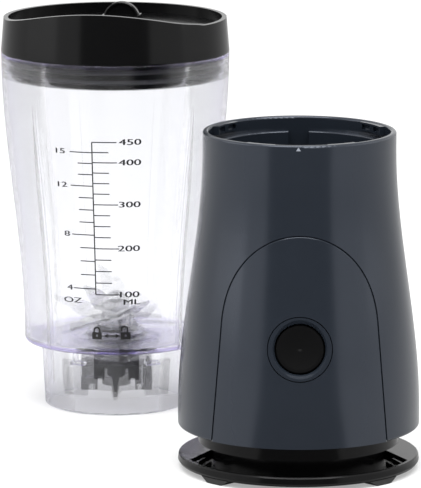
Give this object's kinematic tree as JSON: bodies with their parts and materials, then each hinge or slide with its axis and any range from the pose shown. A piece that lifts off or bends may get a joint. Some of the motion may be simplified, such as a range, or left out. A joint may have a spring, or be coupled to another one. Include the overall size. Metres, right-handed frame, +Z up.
{
  "type": "countertop blender",
  "caption": "Personal blender: tapered round motor base with front start button and cup well, and a clear fluted jar with blade unit, drive coupling and sip lid.",
  "frame": {"origin": "middle of the motor base, on the table that the feet stand on", "axes": "+Z up along the motor shaft; -Y is the front, where the start button is; +X is to the right seen from the front; the jar stands behind the base and to its left"},
  "size_m": [0.1809, 0.2269, 0.1798],
  "materials": {
    "slate_plastic": "glossy slate grey moulded plastic",
    "black_plastic": "semi-gloss black moulded plastic",
    "button_black": "satin black moulded plastic",
    "lid_black": "semi-gloss black moulded plastic",
    "black_rubber": "matt black rubber",
    "clear_silicone": "translucent grey silicone",
    "zinc_steel": "zinc plated steel",
    "spring_steel": "drawn spring wire",
    "stainless_steel": "turned stainless steel",
    "blade_steel": "ground and polished stainless steel",
    "inner_plastic": "matt dark grey moulded plastic",
    "switch_plastic": "matt black moulded plastic",
    "plunger_red": "matt red moulded plastic",
    "lamination_steel": "stacked electrical steel",
    "copper_wire": "enamelled copper wire",
    "copper_bar": "turned copper",
    "bronze": "sintered bronze",
    "carbon": "pressed carbon",
    "board_green": "green lacquered board",
    "coupling_black": "matt black moulded plastic",
    "coupling_grey": "dark grey moulded plastic",
    "print_black": "black screen-printed ink of the scale",
    "print_grey": "light grey pad-printed mark on the rim",
    "clear_jar": "clear moulded copolyester with a faint violet edge"
  },
  "bodies": {
    "base": {"motor_housing": "slate_plastic", "front_panel": "slate_plastic", "cup_well": "slate_plastic", "base_plate": "black_plastic", "rubber_feet": "black_rubber", "base_screws": "zinc_steel", "cord_grommet": "black_rubber", "button_bezel": "slate_plastic", "button_spring": "spring_steel", "switch_holder": "inner_plastic", "power_switch": "switch_plastic", "interlock_spring": "spring_steel", "interlock_switch": "switch_plastic", "stator_core": "lamination_steel", "field_coils": "copper_wire", "lower_bracket": "zinc_steel", "upper_bracket": "zinc_steel", "lower_bush": "bronze", "upper_bush": "bronze", "shaft_seal": "black_rubber", "brush_holders": "bronze", "carbon_brushes": "carbon", "brush_springs": "spring_steel", "motor_screws": "zinc_steel", "mount_screws": "zinc_steel", "motor_mounts": "black_rubber", "circuit_board": "board_green", "board_parts": "switch_plastic"},
    "rotor": {"motor_shaft": "stainless_steel", "armature_core": "lamination_steel", "armature_winding": "copper_wire", "commutator": "copper_bar", "cooling_fan": "inner_plastic", "drive_coupling": "coupling_black"},
    "button": {"button_cap": "button_black"},
    "plunger": {"switch_plunger": "plunger_red"},
    "interlock": {"interlock_pin": "inner_plastic"},
    "jar": {"jar_vessel": "clear_jar", "bearing_housing": "stainless_steel", "blade_bushes": "bronze", "floor_seal": "clear_silicone", "floor_nut": "coupling_grey"},
    "blades": {"blade_shaft": "stainless_steel", "lower_blade": "blade_steel", "upper_blade": "blade_steel", "blade_washers": "stainless_steel", "blade_nut": "stainless_steel", "jar_coupling": "coupling_grey"},
    "lid": {"lid_shell": "lid_black", "lid_gaskets": "clear_silicone", "flap_pin": "stainless_steel"},
    "flap": {"sip_flap": "lid_black", "sip_stopper": "black_rubber"}
  },
  "joints": [
    {"name": "motor_spin", "type": "hinge", "parent": "base", "child": "rotor", "pos_m": [0, 0, 0.1], "axis": [0, 0, 1], "continuous": true},
    {"name": "button_press", "type": "slide", "parent": "base", "child": "button", "axis": [0, 0.9928, -0.1197], "range_m": [0, 0.0025], "stiffness_N_per_m": 600, "springref_m": -0.001, "deforming": ["button_spring"]},
    {"name": "plunger_press", "type": "slide", "parent": "base", "child": "plunger", "axis": [0, 0.9928, -0.1197], "range_m": [0, 0.0025], "stiffness_N_per_m": 100, "springref_m": -0.001},
    {"name": "interlock_press", "type": "slide", "parent": "base", "child": "interlock", "axis": [0, 0, -1], "range_m": [0, 0.0028], "stiffness_N_per_m": 300, "springref_m": -0.001, "deforming": ["interlock_spring"]},
    {"name": "jar_lift", "type": "slide", "parent": "base", "child": "jar", "axis": [0, 0, 1], "range_m": [0, 0.15]},
    {"name": "blade_spin", "type": "hinge", "parent": "jar", "child": "blades", "pos_m": [-0.08, 0.126, 0.03], "axis": [0, 0, 1], "continuous": true},
    {"name": "lid_lift", "type": "slide", "parent": "jar", "child": "lid", "axis": [0, 0, 1], "range_m": [0, 0.06]},
    {"name": "flap_hinge", "type": "hinge", "parent": "lid", "child": "flap", "pos_m": [-0.07593, 0.15168, 0.1707], "axis": [-0.9877, 0.1564, 0], "range_deg": [0, 105]}
  ],
  "couplings": [
    {"joint": "plunger_press", "follows": "button_press", "ratio": 1}
  ]
}
